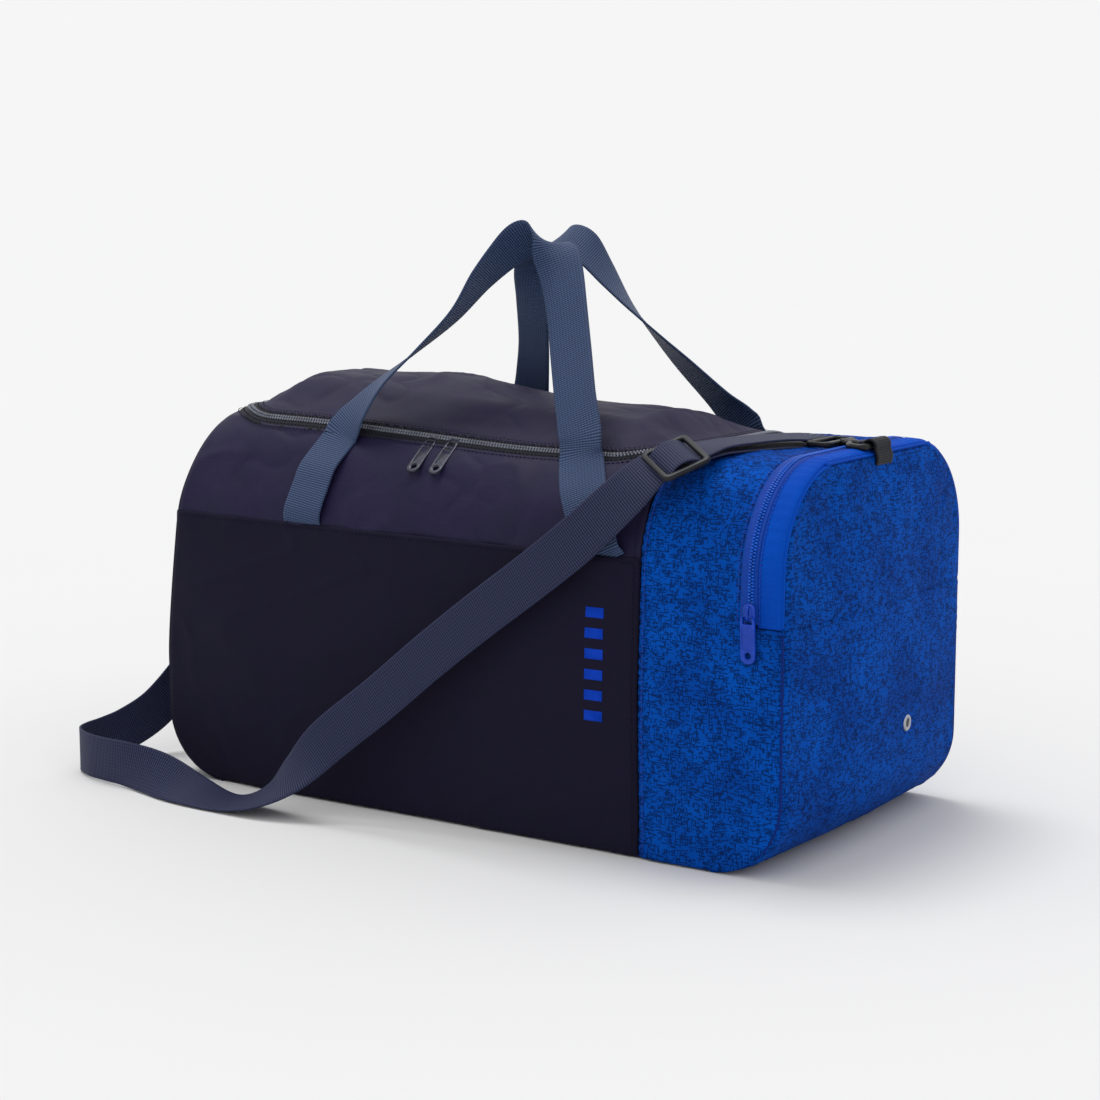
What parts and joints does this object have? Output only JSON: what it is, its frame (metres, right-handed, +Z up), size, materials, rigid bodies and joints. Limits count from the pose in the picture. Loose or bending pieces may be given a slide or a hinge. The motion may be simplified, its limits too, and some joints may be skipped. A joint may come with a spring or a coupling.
{
  "type": "duffel bag",
  "caption": "Soft sports duffel with a zipped domed lid, carry handles, a shoulder strap and a zipped shoe compartment at one end.",
  "frame": {"origin": "on the floor at the middle of the base", "axes": "+X along the length towards the blue end compartment, -Y towards the front, +Z up"},
  "size_m": [0.6825, 0.3736, 0.4793],
  "materials": {
    "canvas_navy": "woven polyester canvas",
    "pocket_navy": "smooth coated polyester",
    "blue_melange": "printed woven polyester",
    "blue_plain": "plain woven polyester",
    "lining": "thin lining",
    "zip_grey": "woven zip tape with a nylon coil",
    "zip_blue": "woven zip tape with a nylon coil",
    "slider_grey": "gunmetal lacquer",
    "slider_blue": "gloss blue lacquer",
    "eyelet": "satin",
    "web_navy": "ribbed polyester webbing",
    "web_dark": "ribbed polyester webbing",
    "plastic_dark": "moulded acetal",
    "plastic_black": "moulded acetal",
    "print_blue": "screen print"
  },
  "bodies": {
    "bag": {"base_panel": "pocket_navy", "front_panel_upper": "canvas_navy", "front_pocket_panel": "pocket_navy", "front_blue_panel": "blue_melange", "back_panel": "canvas_navy", "back_blue_panel": "blue_melange", "left_end_panel": "canvas_navy", "right_end_panel": "blue_melange", "top_blue_panel": "blue_melange", "top_left_strip": "canvas_navy", "top_right_strip": "canvas_navy", "divider_wall": "lining", "main_zip_bag_half": "zip_grey", "end_zip_bag_half": "zip_blue", "end_zip_stop": "zip_blue", "eyelet_ring": "eyelet", "eyelet_washer": "eyelet", "front_piping": "pocket_navy", "back_piping": "pocket_navy", "printed_bars": "print_blue", "front_handle_foot_left": "web_navy", "front_handle_foot_right": "web_navy", "back_handle_foot_left": "web_navy", "back_handle_foot_right": "web_navy", "strap_tab_left": "web_dark", "hook_left": "plastic_black", "strap_adjuster": "plastic_dark", "shoulder_strap": "web_dark"},
    "lid": {"lid_panel": "canvas_navy", "main_zip_lid_half": "zip_grey"},
    "main_slider_l": {"main_slider_left": "slider_grey"},
    "main_slider_r": {"main_slider_right": "slider_grey"},
    "main_pull_l": {"main_pull_left": "slider_grey"},
    "main_pull_r": {"main_pull_right": "slider_grey"},
    "end_flap": {"end_flap_panel": "blue_melange", "end_flap_band": "blue_plain", "end_zip_flap_half": "zip_blue", "strap_tab_right": "web_dark", "hook_right": "plastic_black"},
    "end_zip_slider": {"end_slider": "slider_blue"},
    "end_zip_pull": {"end_pull": "slider_blue"},
    "handle_front": {"front_handle": "web_navy"},
    "handle_back": {"back_handle": "web_navy"},
    "gate_right": {"hook_right_gate": "plastic_dark"},
    "gate_left": {"hook_left_gate": "plastic_dark"}
  },
  "joints": [
    {"name": "lid_hinge", "type": "hinge", "parent": "bag", "child": "lid", "pos_m": [-0.05, 0.1, 0.302], "axis": [-1, 0, 0], "range_deg": [0, 100]},
    {"name": "front_handle_fold", "type": "hinge", "parent": "bag", "child": "handle_front", "pos_m": [0, -0.116, 0.298], "axis": [1, 0, 0], "range_deg": [0, 110]},
    {"name": "back_handle_fold", "type": "hinge", "parent": "bag", "child": "handle_back", "pos_m": [0, 0.116, 0.298], "axis": [-1, 0, 0], "range_deg": [0, 110]},
    {"name": "main_slider_left_run", "type": "slide", "parent": "bag", "child": "main_slider_l", "axis": [1, 0, 0], "range_m": [-0.06, 0]},
    {"name": "main_slider_right_run", "type": "slide", "parent": "bag", "child": "main_slider_r", "axis": [1, 0, 0], "range_m": [0, 0.1]},
    {"name": "main_pull_left_flip", "type": "hinge", "parent": "main_slider_l", "child": "main_pull_l", "pos_m": [-0.049, -0.10613, 0.30349], "axis": [-1, 0, 0], "range_deg": [0, 100]},
    {"name": "main_pull_right_flip", "type": "hinge", "parent": "main_slider_r", "child": "main_pull_r", "pos_m": [-0.027, -0.10613, 0.30349], "axis": [-1, 0, 0], "range_deg": [0, 100]},
    {"name": "end_flap_fold", "type": "hinge", "parent": "bag", "child": "end_flap", "pos_m": [0.3005, 0, 0.1905], "axis": [0, 1, 0], "range_deg": [0, 85]},
    {"name": "end_slider_run", "type": "slide", "parent": "bag", "child": "end_zip_slider", "axis": [0, 0, 1], "range_m": [0, 0.02]},
    {"name": "end_pull_flip", "type": "hinge", "parent": "end_zip_slider", "child": "end_zip_pull", "pos_m": [0.273, -0.1555, 0.202], "axis": [-1, 0, 0], "range_deg": [0, 150]},
    {"name": "right_gate_press", "type": "hinge", "parent": "end_flap", "child": "gate_right", "pos_m": [0.2795, 0.02, 0.3116], "axis": [0, 0, -1], "range_deg": [0, 10], "stiffness_Nm_per_rad": 0.05},
    {"name": "left_gate_press", "type": "hinge", "parent": "bag", "child": "gate_left", "pos_m": [-0.29343, -0.02, 0.26586], "axis": [-0.9781, 0, 0.2079], "range_deg": [0, 10], "stiffness_Nm_per_rad": 0.05}
  ],
  "couplings": [
    {"joint": "front_handle_fold", "follows": "lid_hinge", "ratio": 1.1},
    {"joint": "back_handle_fold", "follows": "lid_hinge", "ratio": 1.1}
  ]
}
